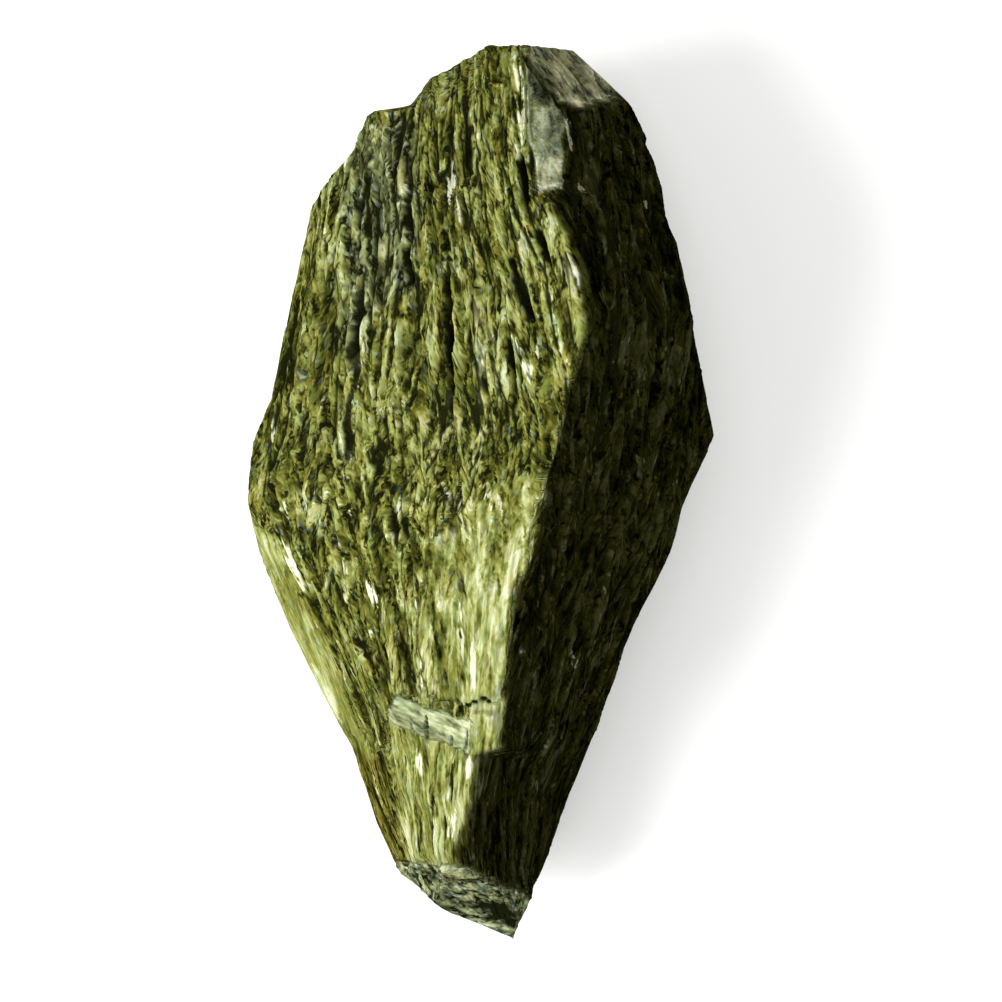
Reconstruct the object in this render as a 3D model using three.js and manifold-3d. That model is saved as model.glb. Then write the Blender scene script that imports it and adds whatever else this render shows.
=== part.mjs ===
// Rough tourmaline: one natural fragment of a long, splintery prism, lying on the flat face of its back.
// Millimetres. +Y runs along the crystal's long axis, +X across it and +Z up. The origin is on the
// surface that the stone lies on, under the middle of its outline.
import * as THREE from "three";
import { mergeVertices } from "three/addons/utils/BufferGeometryUtils.js";
import Module from "manifold-3d";

const LENGTH = 60; // along Y, tip to tip
const WIDTH = 31.4; // along X, at the widest place
const BLANK_HEIGHT = 30; // the blank before its faces are cut; the highest ridge ends up lower
const REACH = 4 * LENGTH; // larger than the stone in every direction, for the cutting blocks
const HEART = new THREE.Vector3(0, 0, 11); // a point deep inside, which every face looks away from
const GOLDEN = (Math.sqrt(5) - 1) / 2; // steps by this share spread the striations without a pattern

// The stone seen from above, as shares of half its width and half its length. Anticlockwise from the top.
const OUTLINE = [
  [0.04, 1.0], [-0.2, 0.93], [-0.31, 0.865], [-0.42, 0.87], [-0.48, 0.855], [-0.55, 0.77],
  [-0.74, 0.66], [-0.905, 0.216], [-0.985, 0.128], [-1.0, 0.006], [-0.932, -0.178], [-0.72, -0.404],
  [-0.552, -0.567], [-0.383, -0.842], [-0.142, -0.932], [-0.004, -0.962], [0.143, -1.0],
  [0.429, -0.614], [0.567, -0.411], [0.595, -0.347], [0.828, -0.104], [0.876, -0.003], [1.0, 0.137],
  [0.893, 0.403], [0.839, 0.56], [0.796, 0.605], [0.757, 0.749], [0.641, 0.882], [0.392, 0.996],
];

// Each face is a plane through three points that lie on it.
const FACES = {
  // the upper side, towards the blunt end
  broadFace: [[-15, 4, 14.2], [4.4, 1.4, 27.4], [0, 29.5, 16.6]],
  leftBevel: [[-11.5, 19.7, 8.5], [-15.3, 3.9, 9], [-11.6, 12, 14]],
  shadedUpper: [[7, 14.1, 25.5], [5.4, 20.2, 22.8], [12.5, 18, 15]],
  shadedMiddle: [[7.1, 10.4, 26.6], [4.4, 1.4, 27.4], [15.7, 4.1, 13]],
  nicheFloor: [[3, 29.5, 18.6], [3.4, 20.4, 21.4], [5.6, 24, 18.9]],
  nicheWall: [[3.3, 20.3, 21.5], [5.6, 20, 21], [4.5, 21.2, 18]],
  brokenCorner: [[3.7, 28.6, 18.2], [6.4, 25.9, 17.8], [9.2, 27, 13]],
  // the upper side, towards the narrow end
  litPrism: [[4.4, 1.9, 27.3], [1.7, -13, 23.5], [-14.6, -5.3, 17.5]],
  flank: [[-3.4, -4.2, 22.7], [-4.4, -14, 20.9], [-10.8, -9.6, 16.2]],
  paleFlank: [[-14.8, -5.3, 8], [-10.4, -14.2, 8], [-9.8, -9, 15.2]],
  brownFlank: [[-8.7, -17, 8], [-6.1, -25.3, 8], [-6.4, -16.2, 15]],
  brownEnd: [[-8.65, -16.9, 6], [-6.4, -15.4, 14], [-9, -15.4, 12]],
  lowerPrism: [[1.1, -16.7, 20.9], [-1.7, -24.6, 15.7], [-6.3, -16.2, 16.7]],
  ledge: [[-5.8, -13, 19.9], [0, -14.5, 22.4], [-0.3, -16.9, 20]],
  shadedLower: [[4.4, 1.4, 27.2], [1.7, -13, 23.5], [13, -3.1, 13.8]],
  chipSide: [[2.2, -5.2, 26], [0.8, -13, 23.6], [10, -5.2, 16]],
  chipEnd: [[3.4, -5, 25.8], [0.9, -5.5, 25.5], [2.4, -5.6, 22]],
  recessSide: [[-0.7, -20, 18.3], [-1.7, -24.6, 17.3], [6.6, -18.8, 9.4]],
  recessEnd: [[0, -16.8, 20], [4, -17.4, 14], [1.5, -16.2, 22]],
  brokenTip: [[-1.7, -24.6, 14.5], [0, -28.9, 8.6], [-6, -25.3, 13.1]],
  // the underside, round the flat back face
  underLeft: [[-15.6, 0, 9], [-14.6, -5, 9], [-7.1, 0, 0]],
  underRight: [[15.7, 4, 8], [13.8, -2, 8], [7.6, 4, 0]],
  underTop: [[-6, 28, 8], [5, 29.5, 8], [0, 22.5, 0]],
  underTip: [[-2, -28, 5], [2, -29.5, 5], [0, -21, 0]],
  underUpperLeft: [[-8.6, 23, 8], [-11.5, 19.7, 8], [-5.5, 15.5, 0]],
  underLowerLeft: [[-9.3, -17, 7], [-6.4, -25.3, 7], [-5, -13, 0]],
  underLowerRight: [[9.3, -10.4, 8], [8.9, -12.3, 8], [3.6, -11, 0]],
  underUpperRight: [[11.9, 22.5, 9], [10, 26.4, 9], [5, 19, 0]],
};

// Every cut takes away what lies outside all the faces that it names: one face is a facet, two are a step.
const CUTS = [
  ["broadFace"], ["leftBevel"], ["shadedUpper"], ["shadedMiddle"], ["nicheFloor", "nicheWall"],
  ["brokenCorner"], ["litPrism"], ["flank"], ["paleFlank"], ["brownFlank", "brownEnd"],
  ["lowerPrism", "ledge"], ["shadedLower"], ["chipSide", "chipEnd"], ["recessSide", "recessEnd"],
  ["brokenTip"], ["underLeft"], ["underRight"], ["underTop"], ["underTip"],
  ["underUpperLeft"], ["underLowerLeft"], ["underLowerRight"], ["underUpperRight"],
];

// The open cracks, each along a line from one end to the other on the face that it splits.
const CRACKS = [
  { face: "broadFace", from: [-8.1, 20.1], to: [-8.3, 9.6], width: 0.8, depth: 1.6 },
  { face: "broadFace", from: [-5.2, 21.2], to: [-4.9, 14], width: 0.6, depth: 1.3 },
  { face: "broadFace", from: [-2.2, 18.6], to: [-1.9, 5], width: 0.7, depth: 1.8 },
  { face: "broadFace", from: [1.9, 15.9], to: [3.4, 11.2], width: 0.6, depth: 1.2 },
  { face: "broadFace", from: [3.6, 17.6], to: [4.7, 14.9], width: 0.5, depth: 0.9 },
  { face: "broadFace", from: [1.6, 10.4], to: [2.2, 7.9], width: 0.5, depth: 0.8 },
  { face: "broadFace", from: [-6.9, 1.6], to: [-5.4, -2.4], width: 1.4, depth: 1.2 },
  { face: "flank", from: [-10.2, -4.6], to: [-7.9, -9.4], width: 0.9, depth: 1.3 },
  { face: "flank", from: [-8.9, -7.4], to: [-6.3, -12.6], width: 0.8, depth: 1.2 },
];

// Striations along the grain: for each face, how many, the box that holds their middles, seen along the
// axis named, and how far they slant to one side over their length.
const STRIATED = [
  { face: "broadFace", count: 34, across: [-12.5, 4.5], along: [3, 27], slant: 0.04 },
  { face: "leftBevel", count: 6, across: [-13.9, -11.7], along: [6, 17], slant: 0.2 },
  { face: "shadedUpper", count: 9, across: [7.8, 12], along: [12, 24], slant: 0.05 },
  { face: "shadedMiddle", count: 12, across: [6.5, 14], along: [1, 10], slant: 0.06 },
  { face: "shadedLower", count: 8, across: [4.5, 11], along: [-4, 0], slant: 0.2 },
  { face: "chipSide", count: 12, across: [2.5, 8.6], along: [-14, -6.5], slant: 0.25 },
  { face: "recessSide", count: 8, across: [0.8, 4], along: [-25, -19], slant: 0.3 },
  { face: "litPrism", count: 12, across: [-3, 2.4], along: [-12, -1], slant: 0.16 },
  { face: "flank", count: 10, across: [-11, -4.8], along: [-11, -4], slant: -0.45 },
  { face: "paleFlank", count: 8, across: [-12.6, -8.8], along: [-13.5, -5.5], slant: -0.5 },
  { face: "lowerPrism", count: 8, across: [-5, -0.8], along: [-22, -18], slant: 0.1 },
  { face: "underLeft", count: 16, across: [-13.5, -8.5], along: [-6, 14], slant: 0 },
  { face: "underRight", count: 16, across: [8.8, 14], along: [-5, 16], slant: 0 },
  { face: "underLowerLeft", count: 8, across: [-8, -4], along: [-20, -10], slant: -0.3 },
  { face: "underLowerRight", count: 8, across: [3, 7.4], along: [-20, -9], slant: 0.4 },
];
const STRIATION = { shortest: 4, longest: 11, width: 0.7, depth: 0.45 };

const wasm = await Module();
wasm.setup();

function solidFrom(geometry) {
  geometry.deleteAttribute("normal");
  geometry.deleteAttribute("uv");
  const merged = mergeVertices(geometry);
  return new wasm.Manifold(
    new wasm.Mesh({
      numProp: 3,
      vertProperties: merged.attributes.position.array,
      triVerts: new Uint32Array(merged.index.array),
    }),
  );
}

function geometryFrom(solid) {
  const mesh = solid.getMesh();
  const geometry = new THREE.BufferGeometry();
  geometry.setAttribute("position", new THREE.BufferAttribute(mesh.vertProperties, 3));
  geometry.setIndex(new THREE.BufferAttribute(mesh.triVerts, 1));
  const faceted = geometry.toNonIndexed();
  faceted.computeVertexNormals();
  return faceted;
}

// The plane of a face, looking away from the heart of the stone.
function planeOf(face) {
  const [a, b, c] = FACES[face].map((point) => new THREE.Vector3(...point));
  const plane = new THREE.Plane().setFromCoplanarPoints(a, b, c);
  return plane.distanceToPoint(HEART) > 0 ? plane.negate() : plane;
}

// A block that fills the outer side of a face.
function outside(face) {
  const plane = planeOf(face);
  const block = new THREE.BoxGeometry(REACH, REACH, REACH);
  block.translate(0, 0, REACH / 2);
  block.applyQuaternion(new THREE.Quaternion().setFromUnitVectors(new THREE.Vector3(0, 0, 1), plane.normal));
  const foot = plane.projectPoint(HEART, new THREE.Vector3());
  block.translate(...foot.toArray());
  return solidFrom(block);
}

function cutter(faces) {
  return faces.map(outside).reduce((kept, next) => kept.intersect(next));
}

// The point of a face straight above or below a place in the plan.
function pointOn(face, x, y) {
  const { normal, constant } = planeOf(face);
  return new THREE.Vector3(x, y, -(constant + normal.x * x + normal.y * y) / normal.z);
}

// A long eight-sided needle that lies half in a face, between two places in the plan.
function needle({ face, from, to, width, depth }) {
  const start = pointOn(face, ...from);
  const end = pointOn(face, ...to);
  const along = end.clone().sub(start);
  const shape = new THREE.OctahedronGeometry(1);
  shape.scale(width / 2, along.length() / 2, depth);
  const outward = planeOf(face).normal;
  const lengthwise = along.normalize();
  const sideways = new THREE.Vector3().crossVectors(lengthwise, outward);
  shape.applyMatrix4(new THREE.Matrix4().makeBasis(sideways, lengthwise, outward));
  shape.translate(...start.add(end).multiplyScalar(0.5).toArray());
  return solidFrom(shape);
}

function striations({ face, count, across, along, slant }) {
  return Array.from({ length: count }, (_, i) => {
    const x = THREE.MathUtils.lerp(...across, (i + 0.5) / count);
    const y = THREE.MathUtils.lerp(...along, ((i + 1) * GOLDEN) % 1);
    const size = ((i + 1) * GOLDEN * GOLDEN * 5) % 1;
    const half = THREE.MathUtils.lerp(STRIATION.shortest, STRIATION.longest, size) / 2;
    return needle({
      face,
      from: [x + slant * half, y + half],
      to: [x - slant * half, y - half],
      width: STRIATION.width,
      depth: STRIATION.depth,
    });
  });
}

function blank() {
  const shape = new THREE.Shape(OUTLINE.map(([x, y]) => new THREE.Vector2((x * WIDTH) / 2, (y * LENGTH) / 2)));
  return solidFrom(new THREE.ExtrudeGeometry(shape, { depth: BLANK_HEIGHT, bevelEnabled: false }));
}

const cut = (kept, next) => kept.subtract(next);
const faceted = CUTS.map(cutter).reduce(cut, blank());
const cracked = CRACKS.map(needle).reduce(cut, faceted);
const stone = STRIATED.flatMap(striations).reduce(cut, cracked);

const tourmaline = new THREE.Mesh(
  geometryFrom(stone),
  new THREE.MeshStandardMaterial({ color: 0x5d6428, roughness: 0.45, metalness: 0, flatShading: true }),
);
tourmaline.name = "tourmaline_crystal";

const specimen = new THREE.Group();
specimen.add(tourmaline);
export default specimen;
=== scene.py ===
"""Rough tourmaline: one splintery crystal fragment lying on its back, and the studio that it is shown in.

The stone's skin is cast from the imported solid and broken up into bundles, rods and fine splinters, all
following one grain. Lengths are worked in millimetres, and a mesh is turned into metres when it is made.
"""

import math
from collections import namedtuple
from itertools import product
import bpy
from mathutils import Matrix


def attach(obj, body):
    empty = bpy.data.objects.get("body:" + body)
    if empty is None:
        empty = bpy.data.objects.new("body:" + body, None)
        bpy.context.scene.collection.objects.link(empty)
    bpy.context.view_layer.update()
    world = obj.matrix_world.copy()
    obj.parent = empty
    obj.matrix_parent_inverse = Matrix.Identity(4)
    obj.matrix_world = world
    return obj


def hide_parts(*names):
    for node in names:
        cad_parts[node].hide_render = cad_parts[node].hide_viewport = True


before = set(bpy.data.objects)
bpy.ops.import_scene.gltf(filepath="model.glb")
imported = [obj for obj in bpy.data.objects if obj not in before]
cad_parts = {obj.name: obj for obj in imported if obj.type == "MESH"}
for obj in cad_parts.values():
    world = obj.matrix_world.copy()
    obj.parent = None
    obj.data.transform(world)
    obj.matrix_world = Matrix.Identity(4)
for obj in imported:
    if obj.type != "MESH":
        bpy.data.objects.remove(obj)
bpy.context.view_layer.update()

from types import SimpleNamespace

import bpy
import numpy as np
from mathutils import Vector
from mathutils.bvhtree import BVHTree

bl_info = {
    "name": "Rough tourmaline",
    "version": (1, 0, 0),
    "blender": (4, 5, 0),
    "location": "3D View > Sidebar > Tourmaline",
    "description": "Builds a splintery tourmaline crystal and the studio around it",
    "category": "Add Mesh",
}

NODE = "tourmaline_crystal"
MM = 0.001  # metres in a millimetre
SEED = 20

# The line inside the stone that its skin is cast out from: along, across and height.
SPINE_Y = (-28.4, -26.5, -20.0, -10.0, 0.0, 10.0, 20.0, 26.5, 29.0)
SPINE_X = (1.4, 0.4, -0.8, -0.4, 0.0, 0.5, 1.3, 2.3, 3.2)
SPINE_Z = (7.8, 7.8, 8.4, 10.0, 11.0, 12.0, 12.0, 12.4, 14.0)

# Where the rings of points stand closer, at the steps of the stone: the middle, half the stretch, how much.
CLOSER_ROWS = ((-15.0, 2.2, 1.3), (20.4, 1.0, 1.0), (-24.8, 0.9, 0.7), (28.3, 0.9, 1.6))
LOW_END, HIGH_END = 0.06, 0.10  # the shares of the rings that go round the lower and the upper end
CLOSER_UPWARD = 1.2  # how much closer the points of a ring stand on the upper side

# The fibres draw together towards the narrow end. For places along the stone: how far apart they stand, as a
# share of their spacing at the widest place, where the middle one lies across, and where the ridge lies,
# across and in height.
GRAIN_Y = (-30.0, -28.0, -25.0, -20.0, -14.0, -8.0, -2.0, 5.0, 14.0, 22.0, 30.0)
GRAIN_SPREAD = (0.30, 0.33, 0.39, 0.50, 0.64, 0.80, 0.94, 1.0, 0.98, 0.94, 0.88)
GRAIN_MIDDLE = (0.8, 0.0, -0.9, -1.0, -0.8, -0.4, -0.1, 0.0, 0.0, 0.0, 0.0)
RIDGE_X = (2.4, 1.3, 0.3, -0.7, 1.0, 2.2, 4.0, 5.4, 6.0, 4.0, 2.7)
RIDGE_Z = (8.1, 10.8, 14.6, 18.5, 23.1, 24.8, 26.6, 27.1, 25.6, 20.9, 18.3)
GIRDLE = 9.0  # the height at which the stone is widest
RIDGE_REACH = 5.0  # how far beside the ridge the fibres bend round it
RIDGE_BEND = 10.0  # how far across they are bent between the ridge and the girdle
FIBRE_DEPTH = 12.0  # how deep the fibres count as, from the skin to the spine

# Along this stretch of the stone the fibres are broken shorter: how much longer it counts as, so far.
BROKEN_Y = (-7.0, -3.5, 4.5, 9.0)
BROKEN_EXTRA = (0.0, 0.8, 3.1, 3.8)

# The broken ends of the fibres wave along the stone: how far, how often across, and where each wave starts.
WAVES = ((0.8, 0.9, 0.0), (0.4, 2.1, 1.0))

# Where the fibres slant across: the region, how far they go across for each millimetre down the stone, the
# height along the stone where the slant starts, and how far across the fibres already stand there.
SLANTS = (("fan", 0.24, 18.5, 0.0), ("lean", 0.20, -3.0, 0.0), ("prism", 0.12, 1.5, -4.08))

# Every shard has fibres that lean a little its own way: the size of a shard, how much they lean, and how much
# more they do in the mottled part.
SHARD = (1.9, 5.0, 1.9)
LEANING, MOTTLED_LEANING = 0.13, 0.25

# Where the fibres cross the rest: the way that they run in the plan, in degrees from the width, and how much
# shorter they are. They are all that much finer.
CROSSED_FINER = 1.2
CROSSED = {"ledge": (-17.0, 1.0), "tip": (-20.0, 1.2), "corner": (-42.0, 1.0), "niche": (80.0, 2.6)}

Region = namedtuple("Region", "outline edge relief")

# Places on the upper side: their outlines in the plan, how softly they end and their share of the relief.
REGIONS = {
    "prism": Region([(2.5, 1.7), (4.3, 1.2), (3.6, -0.6), (3.2, -2.8), (3.1, -4.4), (2.2, -5.8),
        (1.9, -9.0), (1.5, -13.1), (-0.7, -13.5), (-3.4, -13.0), (-4.2, -9.0), (-3.4, -2.9),
        (-1.2, -0.6)], 0.45, 0.3),
    "rib": Region([(-0.9, -5.8), (2.2, -5.8), (1.5, -13.1), (-0.9, -13.4)], 0.15, 1.0),
    "lower_prism": Region([(-6.0, -14.6), (-0.7, -16.9), (1.3, -16.5), (0.0, -20.5), (-1.4, -24.7),
        (-4.8, -24.7), (-5.6, -20.5)], 0.3, 0.35),
    "ledge": Region([(-5.7, -12.9), (-0.6, -14.5), (-0.7, -16.9), (-6.3, -14.6)], 0.2, 0.25),
    "block": Region([(-0.7, -13.0), (1.7, -12.9), (1.4, -16.5), (-0.8, -16.9)], 0.2, 0.3),
    "flank": Region([(-15.9, -0.5), (-15.2, -5.3), (-13.9, -7.8), (-11.6, -12.1), (-9.0, -17.2),
        (-7.2, -17.9), (-8.7, -13.7), (-10.5, -9.6), (-12.2, -6.2), (-13.7, -3.5)], 0.5, 0.3),
    "brown": Region([(-8.8, -16.7), (-7.3, -17.4), (-6.2, -17.0), (-5.8, -20.5), (-4.9, -24.8),
        (-6.6, -25.5)], 0.3, 0.5),
    "tip": Region([(-6.6, -24.8), (-1.7, -24.4), (2.7, -26.3), (3.6, -27.4), (2.2, -30.3), (-0.1, -29.2),
        (-2.5, -28.3)], 0.25, 0.8),
    "corner": Region([(3.1, 30.3), (6.4, 30.3), (10.0, 27.0), (8.1, 26.3), (6.4, 25.7), (4.7, 26.8),
        (3.5, 28.6)], 0.3, 0.7),
    "niche": Region([(2.6, 29.1), (3.4, 28.3), (5.5, 25.1), (5.6, 20.4), (3.9, 20.0),
        (3.1, 23.6)], 0.2, 0.35),
    # The dark side: painted shade over the stone's own darker colour, tinted in by the finish.
    "shade": Region([(2.9, 30.6), (3.7, 26.3), (5.5, 24.9), (5.6, 20.4), (4.5, 19.6), (4.8, 18.6),
        (5.5, 17.0), (6.3, 14.6), (6.6, 10.7), (6.0, 8.7), (5.3, 5.3), (4.5, 1.6), (3.7, -2.8), (3.1, -4.7),
        (2.3, -5.4), (2.1, -8.3), (1.8, -13.0), (1.5, -16.4), (-0.2, -16.7), (-0.35, -18.5), (-0.6, -20.1),
        (-1.4, -21.8), (-1.75, -23.5), (-1.6, -24.6), (2.7, -26.5), (3.5, -27.6), (2.2, -30.6),
        (16.5, -30.6), (16.5, 30.6)], 0.3, 0.75),
    "fan": Region([(-2.1, 17.8), (3.4, 19.8), (5.1, 19.8), (6.2, 17.5), (7.1, 14.1), (7.2, 10.7),
        (6.2, 8.7), (5.4, 5.3), (4.5, 1.3), (2.5, 1.7), (-1.2, -0.6), (-1.9, 5.6)], 0.5, 1.0),
    "lean": Region([(-13.7, -3.5), (-12.2, -3.2), (-8.2, -3.2), (-3.6, -3.4), (-3.6, -4.9), (-4.2, -9.6),
        (-4.1, -13.0), (-5.7, -12.9), (-6.3, -14.6), (-6.0, -16.0), (-7.3, -17.4), (-8.7, -13.7),
        (-10.5, -9.6), (-12.2, -6.2)], 0.4, 0.65),
    "dim": Region([(-8.6, 25.0), (-4.6, 24.6), (-4.2, 19.0), (-4.8, 13.6), (-7.4, 12.0), (-8.8, 9.0),
        (-9.6, 11.0), (-9.0, 16.0), (-9.2, 21.0)], 0.9, 1.1),
    "hollow": Region([(-7.4, 1.2), (-6.0, 1.0), (-4.6, -1.4), (-4.4, -3.4), (-5.8, -2.6),
        (-7.2, 0.0)], 0.5, 1.0),
    "outer": Region([(-12.6, 15.5), (-10.0, 21.5), (-8.6, 20.5), (-10.0, 12.0), (-11.0, 4.0), (-12.5, -1.5),
        (-16.0, -0.5), (-16.0, 4.0)], 1.0, 0.8),
    "mottle": Region([(-12.2, 5.3), (-4.1, 6.3), (-0.7, 2.9), (2.7, 1.9), (-1.7, -0.5), (-3.6, -4.9),
        (-8.2, -4.2), (-12.2, -4.2), (-14.6, -1.5), (-15.3, 1.9)], 1.5, 1.1),
}

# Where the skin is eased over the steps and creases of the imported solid: outlines in the plan, and how softly
# they end.
SEAMLESS = (
    ([(4.6, -1.0), (12.6, -1.0), (9.5, -10.0), (5.5, -22.5), (3.0, -22.5), (3.0, -15.0), (3.4, -8.0)], 1.0),
    ([(-12.0, 7.5), (3.6, 7.5), (3.4, 2.6), (-0.5, 0.8), (-3.5, -1.5), (-12.0, -1.5)], 1.2),
)

# How much each region counts in the numbers of the finish: how light the stone is there, how smooth and pale
# its face is, how calm its pattern is, how much of it is blue-grey and how much is stained brown.
WEIGHTS = {
    # The ledge is lifted with painted light.
    "patch": {"mottle": -0.06, "lean": -0.15, "outer": -0.35, "dim": -0.4, "hollow": -0.4, "brown": -0.8,
              "ledge": 0.35},
    # The pale faces are partly pale stone and partly painted light, on the faces that are turned to the key
    # lamp.
    "bright": {"prism": 0.48, "rib": 0.42, "lower_prism": 0.60, "flank": 0.42, "block": 0.9, "ledge": 0.70},
    "plain": {"niche": 1.0, "flank": 1.0, "ledge": 0.45, "corner": 0.5},
    "grey": {"ledge": 0.45, "corner": 0.8, "niche": 0.6, "tip": 0.5, "dim": 0.3},
    "brown": {"brown": 0.6, "corner": 0.5},
}

# A line in the plan, half its width, and how deep, bright or dark the stone is along it.
Stroke = namedtuple("Stroke", "line width amount")

# The open cracks of the upper side, with their depths.
CRACKS = [Stroke(*row) for row in (
    ([(-8.1, 20.1), (-8.2, 15.0), (-8.3, 9.6)], 0.3, 0.9),
    ([(-8.3, 10.4), (-9.1, 9.0)], 0.3, 0.7),
    ([(-5.2, 21.2), (-5.0, 17.5), (-4.9, 14.0)], 0.24, 0.7),
    ([(-2.2, 18.6), (-2.1, 12.0), (-1.9, 5.0)], 0.24, 0.9),
    ([(2.6, 22.5), (2.8, 20.5), (3.2, 18.0)], 0.26, 1.1),
    ([(1.9, 15.9), (3.4, 11.2)], 0.22, 0.7),
    ([(3.6, 17.6), (4.7, 14.9)], 0.24, 0.7),
    ([(1.6, 10.4), (2.2, 7.9)], 0.24, 0.6),
    ([(-6.4, 0.4), (-5.4, -2.4)], 0.3, 0.6),
    ([(-10.0, -4.8), (-8.5, -8.0)], 0.09, 0.2),
    ([(-8.3, -8.8), (-6.3, -12.6)], 0.09, 0.2),
    ([(-7.7, -4.9), (-7.2, -7.0), (-6.9, -9.3)], 0.12, 0.25),
    ([(-0.8, -13.55), (0.2, -13.15), (0.9, -13.3)], 0.155, 0.3),
    ([(-4.9, -17.0), (-4.8, -19.2)], 0.08, 0.2),
    ([(-3.2, -19.5), (-3.1, -23.5)], 0.09, 0.2),
    ([(-1.9, -17.6), (-1.95, -20.0)], 0.08, 0.2),
    ([(-2.3, -20.8), (-2.35, -24.0)], 0.09, 0.2),
    ([(-4.2, -21.0), (-4.0, -24.2)], 0.09, 0.2),
)]

# Painted highlights on the edges and glints of the upper side that catch the light, and how much they do.
LIPS = [Stroke(*row) for row in (
    ([(2.6, 28.4), (2.7, 26.0), (2.8, 23.0)], 0.42, 1.0),
    ([(3.5, 20.1), (5.4, 20.5)], 0.34, 1.3),
    ([(4.4, 19.6), (5.1, 17.4), (5.9, 14.6), (6.1, 12.5)], 0.45, 0.6),
    ([(6.0, 15.0), (6.3, 13.5)], 0.28, 1.2),
    ([(4.2, 1.2), (3.5, -1.6), (3.1, -4.3)], 0.3, 0.5),
    ([(2.0, -6.2), (1.8, -9.0), (1.5, -13.0)], 0.3, 0.5),
    ([(-1.0, -13.9), (-0.7, -15.8)], 0.6, 0.7),
    ([(-0.7, -17.0), (-0.9, -18.4)], 0.5, 1.3),
    ([(-0.9, -18.4), (-1.1, -19.6), (-1.5, -21.8)], 0.6, 0.8),
    ([(-1.7, -20.4), (-2.2, -22.6)], 0.3, 1.2),
    ([(-4.1, -16.9), (-3.9, -18.4)], 0.34, 1.2),
    ([(-5.0, -21.0), (-4.6, -24.0)], 0.22, 0.8),
    ([(-3.1, -20.8), (-3.0, -24.2)], 0.22, 0.9),
    ([(-3.9, -18.4), (-3.2, -20.4)], 0.26, 0.7),
    ([(0.0, -8.2), (-0.6, -13.0)], 0.24, 0.9),
    ([(-3.0, -3.6), (-3.4, -12.4)], 0.2, 0.7),
    ([(7.2, 28.9), (9.0, 27.4)], 0.8, 0.7),
    ([(5.2, 26.2), (7.2, 26.3), (9.4, 27.0)], 0.34, 0.9),
    ([(-11.3, -11.2), (-9.5, -15.2)], 0.5, 0.9),
    ([(-14.6, -2.6), (-14.2, -3.6)], 0.3, 0.8),
    ([(-13.4, -2.8), (-12.8, -4.2), (-11.7, -6.2)], 0.34, 1.1),
    ([(-7.5, -5.4), (-6.9, -7.2)], 0.45, 1.2),
    ([(1.0, 12.8), (1.6, 10.6)], 0.26, 0.5),
    ([(1.9, 10.6), (2.7, 9.0), (3.3, 7.4)], 0.42, 1.2),
    ([(-0.3, 11.2), (0.6, 8.6), (1.1, 6.8)], 0.5, 0.55),
    ([(3.4, 14.4), (4.2, 13.2)], 0.28, 0.9),
    ([(5.9, 25.0), (6.1, 22.8)], 0.24, 1.8),
    ([(6.8, 20.6), (6.9, 20.1)], 0.22, 3.0),
    ([(11.0, 19.7), (11.1, 19.3)], 0.2, 2.4),
    ([(6.1, -10.0), (6.5, -11.2)], 0.26, 1.5),
    ([(3.3, -2.6), (3.5, -3.4)], 0.18, 1.5),
    ([(2.8, -9.4), (3.0, -10.4)], 0.16, 1.3),
)]

# Streaks and patches of the upper side, and how much lighter (above 0) or darker (below 0) they are than the
# fibres round them.
TONES = [Stroke(*row) for row in (
    ([(-2.4, 27.6), (-2.3, 18.0), (-2.4, 8.0)], 1.1, -1.0),  # the band round the long middle crack
    ([(-0.4, 23.5), (-0.3, 15.5)], 0.9, 0.8),
    ([(-0.6, 13.2), (-0.4, 8.2)], 0.8, 0.9),  # the pale streak at the foot of the fan
    ([(-6.5, 15.6), (-6.5, 13.0)], 1.0, -1.1),
    ([(-4.5, 10.8), (-4.2, 4.6)], 1.1, -0.7),
    ([(-12.5, 11.4), (-13.0, 7.6)], 1.3, -1.3),
    # a painted highlight along the edge of the fan
    ([(5.9, 15.8), (6.0, 13.2)], 0.9, 1.0),  # the edge of the fan
    ([(3.4, 11.6), (4.2, 9.0)], 0.9, -0.7),
    ([(6.2, 19.6), (7.2, 17.0), (7.8, 13.6)], 1.2, -1.6),  # the darkest part of the dark side
    ([(10.2, 19.0), (11.4, 14.8)], 1.3, 1.1),
    ([(3.6, 27.6), (4.0, 26.0)], 0.8, -1.4),  # between the corner and the niche
    ([(3.9, 25.4), (4.6, 20.8)], 1.1, 1.0),
    ([(3.2, 2.5), (4.2, 2.1)], 0.8, -0.9),  # the notch over the prism
    ([(-8.6, 0.7), (-4.6, 0.2)], 0.9, -0.8),
    ([(-12.8, 0.2), (-10.4, -1.6)], 1.3, 1.3),  # the pale chips of the mottled part
    ([(-4.8, -1.9), (-1.0, -1.5)], 1.1, -0.9),  # the greener left part of the prism
    ([(-4.8, -3.8), (-2.2, -4.2)], 1.0, -1.0),
    ([(-3.0, -6.6), (-2.7, -10.4)], 0.8, -0.7),
    ([(2.5, -2.2), (1.9, -6.0)], 0.9, 1.2),  # the bright right edge of the prism and its rib
    ([(1.6, -6.0), (1.3, -12.4)], 0.7, 0.5),
    ([(-3.8, -25.2), (-1.8, -26.4)], 0.9, -0.8),  # the bands of the broken tip
    ([(-1.4, -27.9), (0.6, -28.9)], 0.7, 0.9),
    ([(1.0, -27.4), (2.2, -28.8)], 0.9, -1.3),
)]

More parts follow.
